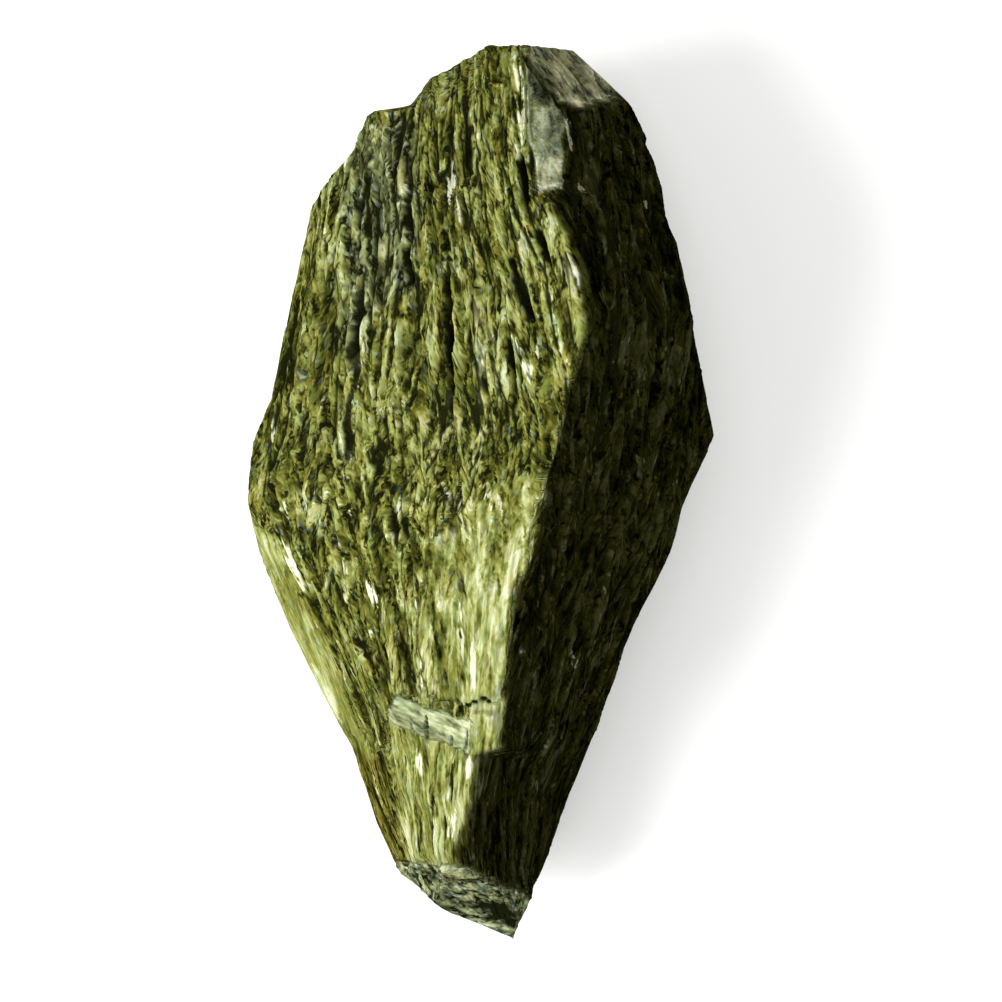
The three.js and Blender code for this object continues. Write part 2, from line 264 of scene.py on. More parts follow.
# The smooth noises of the skin and its finish: the size of their bumps, which is across, along and into the
# fibres, the seed of each one and how strong it is.
RIPPLES = {
    "region_x": ((0.9, 0.9, 0.9), 11, 0.22),  # how far the edges of the regions stray
    "region_y": ((0.9, 0.9, 0.9), 12, 0.22),
    "across": ((1.2, 4.0, 1.2), 2, 0.30),  # how far the borders of the splinters stray
    "along": ((0.7, 2.0, 0.7), 3, 0.5),
    "into": ((1.2, 4.0, 1.2), 4, 0.30),
    "groove": ((0.7, 1.6, 0.7), 9, 0.9),  # how much wider or narrower the grooves and cracks are
    "swell": ((3.0, 9.0, 3.0), 1, 1.0),
    "crack": ((0.8, 2.5, 0.8), 5, 0.16),  # how far the cracks, the lips and the streaks stray
    "crack_edge": ((0.4, 0.9, 0.4), 6, 0.12),
    "lip": ((0.5, 1.3, 0.5), 8, 0.25),
    "streak": ((1.0, 2.4, 1.0), 13, 0.5),
    "patch": ((2.6, 6.0, 3.0), 50, 0.5),  # how much lighter or darker the stone is
    "small_patch": ((1.0, 2.6, 1.2), 51, 0.5),
    "tip_patch": ((0.8, 1.6, 0.8), 52, 0.9),
}
SHARD_SEED, LAYER_SEEDS = 7, 30  # the seed of the shards, and the step between those of the layers

# How much the random tones of the bundle, the rod and the splinter count in the tone of a point.
TONE_SHARES = (0.25, 0.35, 0.4)

# The patterns of the finish: the width and length of the streaks, in millimetres, and how much finer detail
# they hold, and the width and length of the splinters.
STREAKS = {
    "coarse": (0.55, 1.6, 1.0),
    "fine": (0.30, 0.42, 0.0),
    "lines": (0.45, 6.0, 1.0),
    "bands": (1.3, 9.0, 1.0),
    "slits": (0.32, 1.5, 1.0),
    "hue": (0.7, 2.4, 3.0),
}
SPLINTERS = {"slab": (1.10, 4.2), "chunk": (0.66, 1.8), "fleck": (0.38, 0.70)}
BUMP_HEIGHT = 0.12 * MM

# The patterns are shifted about by noise: its width and length, and how far it shifts them.
RAGGED = ((1.1, 1.8, 0.9), (0.28, 0.32, 0.40))

# The studio: the point that the camera looks straight down at, how far the floor reaches in millimetres, the
# places and the sizes of the lamps, and the point that they face.
VIEW_X, VIEW_Y, VIEW_HEIGHT = 1.39 * MM, -0.2 * MM, 8.5 * MM
FLOOR_REACH = 3000.0
LAMPS = {"key": ((-0.30, -0.10, 0.26), 0.24), "fill": ((0.10, 0.05, 0.50), 0.40)}
LAMP_TARGET = (0.0, 0.0, 12.0 * MM)


# ---------------- number fields

def smooth(low, high, value):
    """0 below low and 1 above high, with a soft rise between them."""
    share = np.clip((value - low) / (high - low), 0, 1)
    return share * share * (3.0 - 2.0 * share)


def unit(vectors):
    return vectors / np.maximum(np.linalg.norm(vectors, axis=-1, keepdims=True), 1e-12)


def softened(grid, times, apart=1):
    """The grid with its small steps smoothed away, from points that many columns apart."""
    for _ in range(times):
        grid = (grid + np.roll(grid, apart, 1) + np.roll(grid, -apart, 1)) / 3.0
        grid[1:-1] = (grid[:-2] + grid[1:-1] + grid[2:]) / 3.0
    return grid


def scramble(*whole, seed=0):
    """A number from 0 to 1 for each set of whole numbers, the same on every run."""
    mixed = np.full(np.shape(whole[0]), (seed * 2654435761 + 97) & 0xFFFFFFFF, np.uint64)
    for part, prime in zip(whole, (73856093, 19349663, 83492791)):
        mixed ^= (np.asarray(part).astype(np.int64) & 0xFFFFFFFF).astype(np.uint64) * np.uint64(prime)
        mixed = (mixed ^ (mixed >> np.uint64(15))) * np.uint64(0x2C1B3C6D) & np.uint64(0xFFFFFFFF)
        mixed = (mixed ^ (mixed >> np.uint64(12))) * np.uint64(0x297A2D39) & np.uint64(0xFFFFFFFF)
    mixed ^= mixed >> np.uint64(15)
    return mixed.astype(np.float64) / 0xFFFFFFFF


def cells(points, size, seed):
    """Breaks space into cells of about that size. Gives each point its place in its cell, the cell's own
    four numbers from 0 to 1, and how many millimetres it is from the next cell beside it."""
    size = np.asarray(size)
    scaled = points / size
    home = np.floor(scaled).astype(np.int64)
    nearest = np.full(len(points), 9.0)
    second = np.full(len(points), 9.0)
    offset = np.zeros((len(points), 3))
    beyond = np.ones((len(points), 3))
    owner = np.zeros((len(points), 3), np.int64)
    for step in product((-1, 0, 1), repeat=3):
        cell = home + step
        seat = cell + np.stack([scramble(*cell.T, seed=seed + n) for n in range(3)], 1)
        away = scaled - seat
        distance = np.sqrt((away ** 2).sum(1))
        closer = distance < nearest
        next_closest = ~closer & (distance < second)
        beyond[closer] = offset[closer]
        beyond[next_closest] = away[next_closest]
        second = np.where(closer, nearest, np.minimum(second, distance))
        nearest = np.where(closer, distance, nearest)
        offset[closer] = away[closer]
        owner[closer] = cell[closer]
    own = [scramble(*owner.T, seed=seed + 10 + n) for n in range(4)]
    slope = np.linalg.norm(((offset - beyond) / size)[:, :2], axis=1)
    return offset, own, (second ** 2 - nearest ** 2) / (2 * np.maximum(slope, 1e-9))


def noise(points, size, seed):
    """Smooth noise from -1 to 1 with bumps of about that size."""
    scaled = points / np.asarray(size)
    home = np.floor(scaled).astype(np.int64)
    share = smooth(0.0, 1.0, scaled - home)
    total = np.zeros(len(points))
    for step in product((0, 1), repeat=3):
        weight = np.prod(np.where(step, share, 1 - share), axis=1)
        total += weight * scramble(*(home + step).T, seed=seed)
    return total * 2.0 - 1.0


def ripple(points, name):
    """The noise of that name at each point."""
    size, seed, amount = RIPPLES[name]
    return noise(points, size, SEED + seed) * amount


def from_line(x, y, start, end):
    """How far along the line from start to end each point lies, from 0 to 1, and how far away from it."""
    x, y, dx, dy = x - start[0], y - start[1], end[0] - start[0], end[1] - start[1]
    along = np.clip((x * dx + y * dy) / (dx * dx + dy * dy), 0, 1)
    return along, np.hypot(x - along * dx, y - along * dy)


def inside(outline, edge, x, y):
    """1 inside an outline in the plan and 0 outside it, changing over the width of its edge."""
    nearest = np.full(len(x), 1e9)
    within = np.zeros(len(x), bool)
    for start, end in zip(outline, outline[1:] + outline[:1]):
        nearest = np.minimum(nearest, from_line(x, y, start, end)[1])
        (ax, ay), (bx, by) = start, end
        crosses = (ay > y) != (by > y)
        within ^= crosses & (x < (bx - ax) * (y - ay) / ((by - ay) or 1e-9) + ax)
    return smooth(-edge, edge, np.where(within, nearest, -nearest))


def on_stroke(stroke, x, y, blunt=0.02, swollen=1.0):
    """1 along the middle of a stroke, falling to 0 at its edges. It narrows to its two ends, the less so the
    higher blunt is. Swollen is how many times its width it is at each point."""
    lengths = [math.dist(start, end) for start, end in zip(stroke.line, stroke.line[1:])]
    nearest, place, walked = np.full(len(x), 1e9), np.zeros(len(x)), 0.0
    for start, end, length in zip(stroke.line, stroke.line[1:], lengths):
        along, away = from_line(x, y, start, end)
        place = np.where(away < nearest, (walked + along * length) / sum(lengths), place)
        nearest = np.minimum(nearest, away)
        walked += length
    width = stroke.width * swollen * np.sqrt(np.clip(4.0 * place * (1 - place), blunt, 1.0))
    return 1 - smooth(0.4 * width, width, nearest)


def regions_at(points, upward):
    """How much of each region each point is in. Upward is how far the skin faces up there, from -1 to 1. All
    the regions end where it turns down, but the dark one fades out slowly."""
    x = points[:, 0] + ripple(points, "region_x")
    y = points[:, 1] + ripple(points, "region_y")
    return {
        name: inside(region.outline, region.edge, x, y)
        * smooth(-1.0 if name == "shade" else -0.25, 0.1, upward)
        for name, region in REGIONS.items()
    }


def weighed(here, number):
    """What the regions add to a number of the finish at each point."""
    return sum(here[name] * weight for name, weight in WEIGHTS[number].items())


# ---------------- the grain

def unrolled(grid):
    """How far across each point of the grid lies from the middle fibre. Past the widest place of its row, it
    is counted on outward as though the underside were folded out flat."""
    off = grid[..., 0] - np.interp(grid[..., 1], GRAIN_Y, GRAIN_MIDDLE)
    for side in (-1.0, 1.0):
        reach = off * side
        widest = reach.max(1, keepdims=True)
        height = np.take_along_axis(grid[..., 2], reach.argmax(1)[:, None], 1)
        under = (reach > 0.0) & (reach <= widest) & (grid[..., 2] < height)
        off = np.where(under, side * (2 * widest - reach), off)
    return off


def among_fibres(points, off, facing, share, here):
    """Where each point lies among the fibres: across them, along them and deep. Off is how far it lies from
    the middle fibre, facing is the way that the skin faces, and share is how far out from the spine it is."""
    y, z = points[:, 1], points[:, 2]
    top = np.interp(y, GRAIN_Y, RIDGE_Z)
    from_ridge = off + np.interp(y, GRAIN_Y, GRAIN_MIDDLE) - np.interp(y, GRAIN_Y, RIDGE_X)
    below = (top - z) / np.maximum(top - GIRDLE, 5.0)
    across = off / np.interp(y, GRAIN_Y, GRAIN_SPREAD)
    across = across + RIDGE_BEND * np.tanh(from_ridge / RIDGE_REACH) * below
    for region, slope, start, shift in SLANTS:
        across = across + np.where(here[region] > 0.5, slope * (y - start) + shift, 0.0)
    along = y + np.interp(y, BROKEN_Y, BROKEN_EXTRA)
    for far, often, start in WAVES:
        along = along + far * np.sin(often * across + start)
    among = np.stack([across, along, FIBRE_DEPTH * (1 - share)], 1)
    place, own, _ = cells(among, SHARD, SEED + SHARD_SEED)
    still = np.clip(here["prism"] + here["lower_prism"] + here["flank"] + here["block"], 0, 1)
    leaning = (LEANING + MOTTLED_LEANING * here["mottle"]) * (1 - still)
    among[:, 0] += (own[0] * 2.0 - 1.0) * leaning * place[:, 1] * SHARD[1]
    broken_off = (np.abs(facing[:, 1]) > 0.58) & (facing[:, 2] < 0.3)  # the two ends of the stone
    among = np.where(broken_off[:, None], points, among)
    for name, (angle, shorter) in CROSSED.items():
        way = np.array([math.cos(math.radians(angle)), math.sin(math.radians(angle)), 0.0])
        side = np.array([-way[1], way[0], 0.0])
        crossed = np.stack([points @ side * CROSSED_FINER, points @ way * shorter, z], 1)
        among = np.where((here[name] > 0.5)[:, None], crossed, among)
    return among


# ---------------- the stone's skin

# How wide and how black the grooves are between the pieces of each layer, from the coarsest to the finest.
# The black of the grooves is painted shade.
GROOVES = {"bundle": (0.34, 0.9), "rod": (0.28, 0.8), "splinter": (0.24, 0.6)}


def hits(seats, rays):
    """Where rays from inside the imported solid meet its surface."""
    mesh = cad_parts[NODE].data
    corners = [v.co / MM for v in mesh.vertices]
    tree = BVHTree.FromPolygons(corners, [tuple(p.vertices) for p in mesh.polygons])
    reach = np.empty(len(seats))
    for i, (seat, ray) in enumerate(zip(seats, rays)):
        distance = tree.ray_cast(Vector(seat), Vector(ray))[3]
        if distance is None:
            raise RuntimeError("the spine of the stone has left the packed solid")
        reach[i] = distance
    return reach


def evened(grid, columns):
    """The same rows of points, each with so many columns evenly spaced along it, but closer on its upper
    side. How close they stand changes only slowly from row to row."""
    steps = np.linalg.norm(np.roll(grid, -1, 1) - grid, axis=2)
    lying = smooth(-0.4, 0.3, grid[..., 2] - grid[..., 2].mean(1, keepdims=True))
    steps = softened(steps * (1 + CLOSER_UPWARD * lying), 6)
    for _ in range(90):
        steps[1:-1] = (steps[:-2] + steps[1:-1] + steps[2:]) / 3.0
    result = np.empty((len(grid), columns, grid.shape[2]))
    wrapped = np.concatenate([grid, grid[:, :1]], axis=1)
    for row, (points, step) in enumerate(zip(wrapped, steps)):
        walked = np.concatenate([[0.0], np.cumsum(step)])
        wanted = np.arange(columns) / columns * walked[-1]
        result[row] = np.stack([np.interp(wanted, walked, part) for part in points.T], 1)
    return result


def cast_grid(columns, rows):
    """Rays from the spine out to the skin: their seats, their directions, how far the rays of each row tip
    towards an end, and the seats and directions of one more ray at each of the two ends."""
    theta = np.arange(columns) / columns * 2.0 * math.pi
    low_end, high_end = round(rows * LOW_END), round(rows * HIGH_END)
    straight = rows - low_end - high_end
    pitch = np.concatenate([
        np.linspace(-math.pi / 2, 0.0, low_end + 1)[1:-1],
        np.zeros(straight + 2),
        np.linspace(0.0, math.pi / 2, high_end + 1)[1:-1],
    ])
    fine_y = np.linspace(SPINE_Y[0], SPINE_Y[-1], 2000)
    density = np.ones(len(fine_y))
    for middle, half, extra in CLOSER_ROWS:
        density += extra * np.exp(-((fine_y - middle) / half) ** 2)
    walked = np.concatenate([[0.0], np.cumsum((density[1:] + density[:-1]) / 2.0)])
    seat_y = np.interp(np.linspace(0.0, walked[-1], straight + 2), walked, fine_y)
    seat_y = np.pad(seat_y, (low_end - 1, high_end - 1), "edge")
    seat = np.stack([np.interp(seat_y, SPINE_Y, SPINE_X), seat_y, np.interp(seat_y, SPINE_Y, SPINE_Z)], 1)
    rays = np.stack([
        np.cos(pitch)[:, None] * np.cos(theta)[None],
        np.repeat(np.sin(pitch)[:, None], columns, 1),
        np.cos(pitch)[:, None] * np.sin(theta)[None],
    ], 2)
    seats = np.repeat(seat[:, None], columns, 1)
    ends = np.array([seat[0], seat[-1]]), np.array([[0.0, -1.0, 0.0], [0.0, 1.0, 0.0]])
    return seats, rays, pitch, ends


def standing(height):
    """How much each point of the grid stands above its surroundings, from -1 to 1."""
    above = height - softened(height, 6, 2)
    return np.clip(above / (2 * above.std()), -1.0, 1.0)


def grid_normals(grid):
    """Outward normals of a closed band of points, rows by columns."""
    around = np.roll(grid, -1, 1) - np.roll(grid, 1, 1)
    return unit(np.cross(np.gradient(grid, axis=0), around))


def bridged(reach, seats, rays):
    """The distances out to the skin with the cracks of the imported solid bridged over."""
    place = seats + rays * reach[..., None]
    columns = np.arange(reach.shape[1])
    open_here = np.zeros(reach.shape, bool)
    for crack in CRACKS:
        wider = crack._replace(width=crack.width * 2.0 + 0.5)  # the whole crack of the solid, with its sides
        near = on_stroke(wider, place[..., 0].ravel(), place[..., 1].ravel(), 1.0) > 0.0
        open_here |= near.reshape(reach.shape) & (rays[..., 2] > 0.0)
    for row, gaps in zip(reach, open_here):
        row[gaps] = np.interp(columns[gaps], columns[~gaps], row[~gaps])
    return reach


def without_seams(reach, place):
    """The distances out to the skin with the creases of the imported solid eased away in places."""
    eased = softened(reach, 60)
    for outline, edge in SEAMLESS:
        share = inside(outline, edge, place[..., 0].ravel(), place[..., 1].ravel())
        reach = reach + (eased - reach) * share.reshape(reach.shape)
    return reach


def relief(points, among, here, facing_up, settings):
    """How far the skin stands out at each point, how deep it lies in a gap there, from 0 to 1, which is
    painted as shade, and the random tone of the bundle, the rod and the splinter that it is on."""
    wandered = among + np.stack([ripple(among, way) for way in ("across", "along", "into")], 1)
    swollen = np.clip(1 + ripple(among, "groove"), 0.3, 1.7)
    height = settings.swell / MM * ripple(among, "swell")
    gap = np.zeros(len(points))
    tones = []
    for number, (name, (groove, black)) in enumerate(GROOVES.items()):
        wide, long, high = (
            getattr(settings, f"{name}_{part}") / MM for part in ("width", "length", "relief"))
        place, own, border = cells(wandered, (wide, long, wide), SEED + LAYER_SEEDS * number)
        raised, tipped, sloped, tone = own
        # Each piece stands at a height of its own, tips to one side and slopes along its length.
        height += high * (raised * 2.0 - 1.2)
        height += high * ((tipped - 0.5) * 2.2 * place[:, 0] + (sloped - 0.35) * 1.8 * place[:, 1])
        edge = 1 - smooth(0.0, groove * swollen, border)
        height -= high * 1.1 * edge
        # the grooves get painted shade
        gap = np.maximum(gap, edge * smooth(0.2, 0.8, tone) * black)
        tones.append(tone)
    calm = np.ones(len(points))
    for name, region in REGIONS.items():
        calm *= 1 + here[name] * (region.relief - 1.0)
    height *= calm
    gap *= 0.2 + 0.8 * calm.clip(0, 1)
    x = points[:, 0] + ripple(among, "crack") + ripple(among, "crack_edge")
    for crack in CRACKS:
        cut = on_stroke(crack, x, points[:, 1], swollen=swollen) * facing_up
        height -= cut * crack.amount
        # the cracks get painted shade too
        gap = np.maximum(gap, cut)
    return height, gap, tones


def traced(strokes, stray, blunt, points, among):
    """How much each of the strokes adds to each point. Stray is the ripple that bends the strokes."""
    x = points[:, 0] + ripple(among, stray)
    return [on_stroke(stroke, x, points[:, 1], blunt) * stroke.amount for stroke in strokes]


def mesh_object(name, corners, faces, numbers):
    """A mesh object from points in millimetres, with a number per point for each name given."""
    mesh = bpy.data.meshes.new(name)
    mesh.from_pydata((corners * MM).tolist(), [], faces)
    for key, values in numbers.items():
        values = np.asarray(values, np.float32)
        kind, field = ("FLOAT", "value") if values.ndim == 1 else ("FLOAT_VECTOR", "vector")
        mesh.attributes.new(key, kind, "POINT").data.foreach_set(field, values.ravel())
    mesh.update()
    made = bpy.data.objects.new(name, mesh)
    bpy.context.scene.collection.objects.link(made)
    return made


def cast_skin(columns, rows):
    """The smooth skin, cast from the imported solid, rows by columns: its points, the rays out to them, how far
    out from the spine they count as, from 0 to 1, and the points that close the two ends."""
    seats, rays, pitch, (end_seats, end_rays) = cast_grid(columns * 2, rows)
    reach = hits(seats.reshape(-1, 3), rays.reshape(-1, 3)).reshape(len(rays), -1)
    reach = bridged(reach, seats, rays)
    reach = without_seams(reach, seats + rays * reach[..., None])
    out = reach * np.cos(pitch)[:, None]
    cast = evened(np.concatenate([seats + rays * reach[..., None], rays, out[..., None]], 2), columns)
    base, rays, out = cast[..., :3], cast[..., 3:6], cast[..., 6]
    straight = np.flatnonzero(pitch == 0.0)
    rim = np.clip(np.arange(len(base)), straight[0], straight[-1])
    ends = end_seats + end_rays * hits(end_seats, end_rays)[:, None]
    return base, rays, out / out[rim], ends


Skin = namedtuple("Skin", "points ends among here gap ridge lit shade tones")


def build_skin(settings):
    """The stone's skin: a grid of points, rows by columns, with the numbers that its finish is mixed from."""
    base, rays, share, ends = cast_skin(settings.columns, settings.rows)
    grid = base.shape
    off = unrolled(base).ravel()
    facing = grid_normals(softened(base, 4)).reshape(-1, 3)
    base = base.reshape(-1, 3)
    up = smooth(-0.25, 0.1, facing[:, 2])
    here = regions_at(base, facing[:, 2])
    among = among_fibres(base, off, facing, share.ravel(), here)
    height, gap, tones = relief(base, among, here, up, settings)
    height *= 0.45 + 0.55 * smooth(0.05, 0.55, facing[:, 2])  # the sides are calmer
    height *= 1 - 0.4 * smooth(0.45, 0.8, np.abs(facing[:, 1]))  # the ends are calmer too
    floor_share = smooth(0.15, 1.2, base[:, 2])  # the face that it lies on stays flat
    way = unit(facing + rays.reshape(-1, 3) * 0.4)
    points = base + way * (height * floor_share)[:, None]
    points[:, 2] = np.maximum(points[:, 2], np.minimum(base[:, 2], 0.02))
    ridge = standing(height.reshape(grid[:2])).ravel()
    # painted highlights along the lit edges and glints
    lit = np.max(traced(LIPS, "lip", 0.1, base, among), axis=0) * up
    shade = np.sum(traced(TONES, "streak", 0.3, base, among), axis=0) * up
    return Skin(points.reshape(grid), ends, among, here, gap, ridge, lit, shade, tones)


def skin_faces(rows, columns):
    """The quads between the rows, and the fans of triangles that close the two ends."""
    faces = []
    pairs = [(column, (column + 1) % columns) for column in range(columns)]
    for row in range(rows - 1):
        low, high = row * columns, (row + 1) * columns
        faces += [(low + here, high + here, high + beside, low + beside) for here, beside in pairs]
    first, last, top = rows * columns, rows * columns + 1, (rows - 1) * columns
    for here, beside in pairs:
        faces += [(first, here, beside), (last, top + beside, top + here)]
    return faces


def finish_numbers(skin):
    """The numbers that the finish of each point is mixed from."""
    here, among = skin.here, skin.among
    patch = ripple(among, "patch") + ripple(among, "small_patch") + here["tip"] * ripple(among, "tip_patch")
    patch = patch + weighed(here, "patch") + skin.shade
    plain = weighed(here, "plain")
    for name in CROSSED:
        plain = plain + 4.0 * here[name] * (1 - here[name])  # calmer where the grain changes
    return {
        "grain": among,
        "tone": sum(tone * share for tone, share in zip(skin.tones, TONE_SHARES)),
        "own": skin.tones[-1],
        "patch": patch * 0.5 + 0.5,
        "bright": np.clip(weighed(here, "bright"), 0, 1),
        "grey": np.clip(weighed(here, "grey"), 0, 1),
        "brown": weighed(here, "brown"),
        "plain": np.clip(plain, 0, 1),
        # painted shade over the stone's own darker colour, on the dark side
        "dark": here["shade"] * (1 - here["niche"]) * (1 - here["corner"]) * (1 - here["tip"] * 0.7),
        "gap": skin.gap,
        "ridge": skin.ridge,
        "lit": skin.lit,
    }


# ---------------- the finish

def maths(operation, reflected=False):
    """A method that adds the Math node for an operator."""
    def method(self, other):
        first, second = (other, self) if reflected else (self, other)
        return self.finish.node("ShaderNodeMath", {"operation": operation}, {0: first, 1: second})
    return method


class Value:
    """What comes out of a node. Arithmetic on it adds the nodes that work the result out."""

    __add__, __radd__ = maths("ADD"), maths("ADD", True)
    __sub__, __rsub__ = maths("SUBTRACT"), maths("SUBTRACT", True)
    __mul__, __rmul__ = maths("MULTIPLY"), maths("MULTIPLY", True)

    def __init__(self, finish, socket):
        self.finish = finish
        self.socket = socket

    def rise(self, low, high):
        """0 below low and 1 above high, with a soft rise between them."""
        return self.finish.node(
            "ShaderNodeMapRange", {"interpolation_type": "SMOOTHSTEP"},
            {"Value": self, "From Min": low, "From Max": high})

    def clamped(self):
        return self.finish.node("ShaderNodeClamp", {}, {"Value": self})


Splinters = namedtuple("Splinters", "tone kind tint face")


class Finish:
    """A material and the nodes that make it."""

    def __init__(self, name):
        self.material = bpy.data.materials.new(name)
        self.material.use_nodes = True
        self.tree = self.material.node_tree
        self.tree.nodes.clear()

    def node(self, kind, settings, values, out=0):
        """Adds a node: its settings first, then what its sockets hold or are linked to."""
        made = self.tree.nodes.new(kind)
        for key, setting in settings.items():
            if key == "stops":
                self.set_stops(made.color_ramp, setting)
            else:
                setattr(made, key, setting)
        for key, value in values.items():
            socket = made.inputs[key]
            if isinstance(value, Value):
                self.tree.links.new(value.socket, socket)
            else:
                socket.default_value = value
        return Value(self, made.outputs[out]) if made.outputs else None

    @staticmethod
    def set_stops(ramp, stops):
        ramp.elements.remove(ramp.elements[1])
        ramp.elements[0].position = stops[0][0]
        for place, _ in stops[1:]:
            ramp.elements.new(place)
        for element, (_, colour) in zip(ramp.elements, stops):
            element.color = (*colour, 1.0)

    def number(self, key):
        return self.node("ShaderNodeAttribute", {"attribute_name": key}, {}, "Fac")

    def ragged(self, grain):
        """The place among the fibres, shifted about so that what is drawn there has ragged edges."""
        shifted = grain
        loose = 1 - self.number("bright") * 0.7
        for across, along, amount in RAGGED:
            place = self.scaled(grain, across, along)
            shift = self.node("ShaderNodeTexNoise", {}, {"Vector": place, "Scale": 1.0, "Detail": 0.0}, 1)
            shift = self.vector("SUBTRACT", shift, (0.5, 0.5, 0.5))
            shifted = self.vector("ADD", shifted, self.vector("MULTIPLY", shift, loose * amount))
        return shifted

    def scaled(self, grain, across, along):
        """The place among the fibres, scaled so that a pattern there has that size in millimetres."""
        return self.vector("MULTIPLY", grain, (1.0 / across, 1.0 / along, 1.0 / across))

    def streaks(self, grain, across, along, detail):
        return self.node("ShaderNodeTexNoise", {}, {
            "Vector": self.scaled(grain, across, along), "Scale": 1.0, "Detail": detail, "Roughness": 0.6})

    def vector(self, operation, first, second, out=0):
        return self.node("ShaderNodeVectorMath", {"operation": operation}, {0: first, 1: second}, out)

    def splinters(self, grain, across, along):
        """Splinters of that size: three numbers of each splinter's own, from -0.5 to 0.5 at its middle and 0
        at its edges, and the height of its face, which is tilted its own way."""
        place = self.scaled(grain, across, along)
        own = self.node("ShaderNodeTexVoronoi", {}, {"Vector": place, "Scale": 1.0}, 1)
        sockets = own.socket.node.outputs
        solid = 1 - Value(self, sockets["Distance"]).rise(0.2, 0.68)
        own = self.vector("MULTIPLY", self.vector("SUBTRACT", own, (0.5, 0.5, 0.5)), solid)
        from_middle = self.vector("SUBTRACT", place, Value(self, sockets["Position"]))
        face = self.vector("DOT_PRODUCT", from_middle, own, 1)
        parts = self.node("ShaderNodeSeparateXYZ", {}, {"Vector": own}).socket.node.outputs
        return Splinters(*(Value(self, part) for part in parts), face)

    def mix(self, share, first, second, blend="MIX"):
        return self.node(
            "ShaderNodeMix", {"data_type": "RGBA", "blend_type": blend},
            {0: share, 6: first, 7: second}, 2)

    def tinted(self, share, body, tint):
        """The body's colour with that share of it multiplied by the tint."""
        return self.mix(share, body, self.mix(1.0, body, (*tint, 1.0), "MULTIPLY"))

    def ramp(self, place, stops):
        return self.node("ShaderNodeValToRGB", {"stops": stops}, {"Fac": place})

    def bump(self, height, distance):
        return self.node("ShaderNodeBump", {}, {"Height": height, "Distance": distance, "Strength": 1.0})

    def surface(self, **values):
        shader = self.node("ShaderNodeBsdfPrincipled", {}, {
            name.replace("_", " "): value for name, value in values.items()})
        self.node("ShaderNodeOutputMaterial", {}, {"Surface": shader})
        return self.material


def fibre_patterns(finish):
    """What the stone's finish is drawn with: the numbers of each point, the streaks and the splinters."""
    keys = ("tone", "own", "patch", "bright", "grey", "brown", "dark", "gap", "ridge", "lit")
    grain = finish.ragged(finish.node("ShaderNodeAttribute", {"attribute_name": "grain"}, {}, "Vector"))
    fibre = SimpleNamespace(
        **{key: finish.number(key) for key in keys},
        **{key: finish.streaks(grain, *size) for key, size in STREAKS.items()},
        **{key: finish.splinters(grain, *size) for key, size in SPLINTERS.items()})
    fibre.slit = 1 - fibre.slits.rise(0.3, 0.39)
    fibre.hollow = 1 - fibre.coarse.rise(0.28, 0.44)
    fibre.speck = fibre.fleck.tint.rise(0.2, 0.34)
    fibre.plain = (finish.number("plain") + fibre.slab.kind.rise(0.22, 0.34) * 0.55).clamped()
    fibre.rough = (1 - fibre.bright * 0.8) * (1 - fibre.plain * 0.6)
    return fibre


def fine_height(fibre):
    """How far the faces of the splinters and the streaks over them stand out."""
    height = fibre.slab.face * 1.3 + fibre.chunk.face * 1.2 + fibre.chunk.tone * 0.8
    height = (height + fibre.fleck.face * 0.5 + fibre.fleck.tone * 0.5) * fibre.rough
    height = height + fibre.coarse * (1 - fibre.plain * 0.5) * 0.45 + fibre.lines * fibre.bright * 0.6
    return height - fibre.slit * fibre.rough * 0.3


def lightness(fibre):
    """How light the stone is, from about 0 between the splinters to 1 on the palest of them, with painted
    shade in the hollows and slits and painted light on the raised parts and the lit edges.
    """
    light = (fibre.slab.tone * 0.32 + fibre.chunk.tone * 0.48 + fibre.fleck.tone * 0.4) * fibre.rough
    light = light + ((fibre.coarse - 0.5) * 0.6 + (fibre.fine - 0.5) * 0.25) * (1 - fibre.plain * 0.5)
    light = light + (fibre.bands - 0.5) * (1 - fibre.bright) * 0.75
    # The raised parts are painted lighter: painted light on the relief.
    light = light + (fibre.tone - 0.5) * 0.1 + fibre.ridge * 0.1 + (fibre.patch - 0.5) * 0.4
    light = light + (fibre.lines - 0.5) * fibre.bright * 0.8
    # Painted light: the pale faces are lifted, and the lit edges get painted highlights.
    light = light + fibre.bright * 0.15 + fibre.lit * 0.26 + 0.44
    # painted shade in the hollows and the slits
    return light - fibre.hollow * fibre.rough * 0.28 - fibre.slit * fibre.rough * 0.24


def stone_colour(finish, colours, fibre, light):
    """Green where the stone is fibrous and blue-grey where it is broken across, tinted in streaks."""
    green = finish.ramp(light, [
        (0.07, colours.gap), (0.28, colours.deep), (0.49, colours.olive), (0.7, colours.green),
        (0.99, colours.pale)])
    broken = finish.ramp(light, [
        (0.07, colours.gap), (0.33, colours.slate), (0.6, colours.grey), (0.94, colours.white)])
    grey = fibre.grey + fibre.fleck.kind.rise(0.18, 0.32) * 0.6 + fibre.chunk.kind.rise(0.3, 0.4) * 0.6
    body = finish.mix(grey.clamped(), green, broken)
    yellower = fibre.hue.rise(0.48, 0.62) * (1 - fibre.bright).clamped()
    greener = (1 - fibre.hue.rise(0.36, 0.48)) * (0.85 - fibre.grey * 0.6)
    rusty = fibre.speck * (0.45 - fibre.bright * 0.4)
    body = finish.tinted(yellower, body, colours.straw)
    body = finish.tinted(greener, body, colours.moss)
    return finish.tinted((fibre.brown + rusty).clamped(), body, colours.brown)


def glints(fibre):
    """Painted white glints on a few of the splinters, and painted highlights along the edges that are lit."""
    glint = fibre.own.rise(0.95, 0.98) * fibre.coarse.rise(0.4, 0.55)
    edge_highlight = fibre.lit.rise(0.7, 1.2) * fibre.coarse.rise(0.34, 0.5) * (1 - fibre.slit)
    return (glint * (0.5 - fibre.dark * 0.3) + edge_highlight * 0.75).clamped()


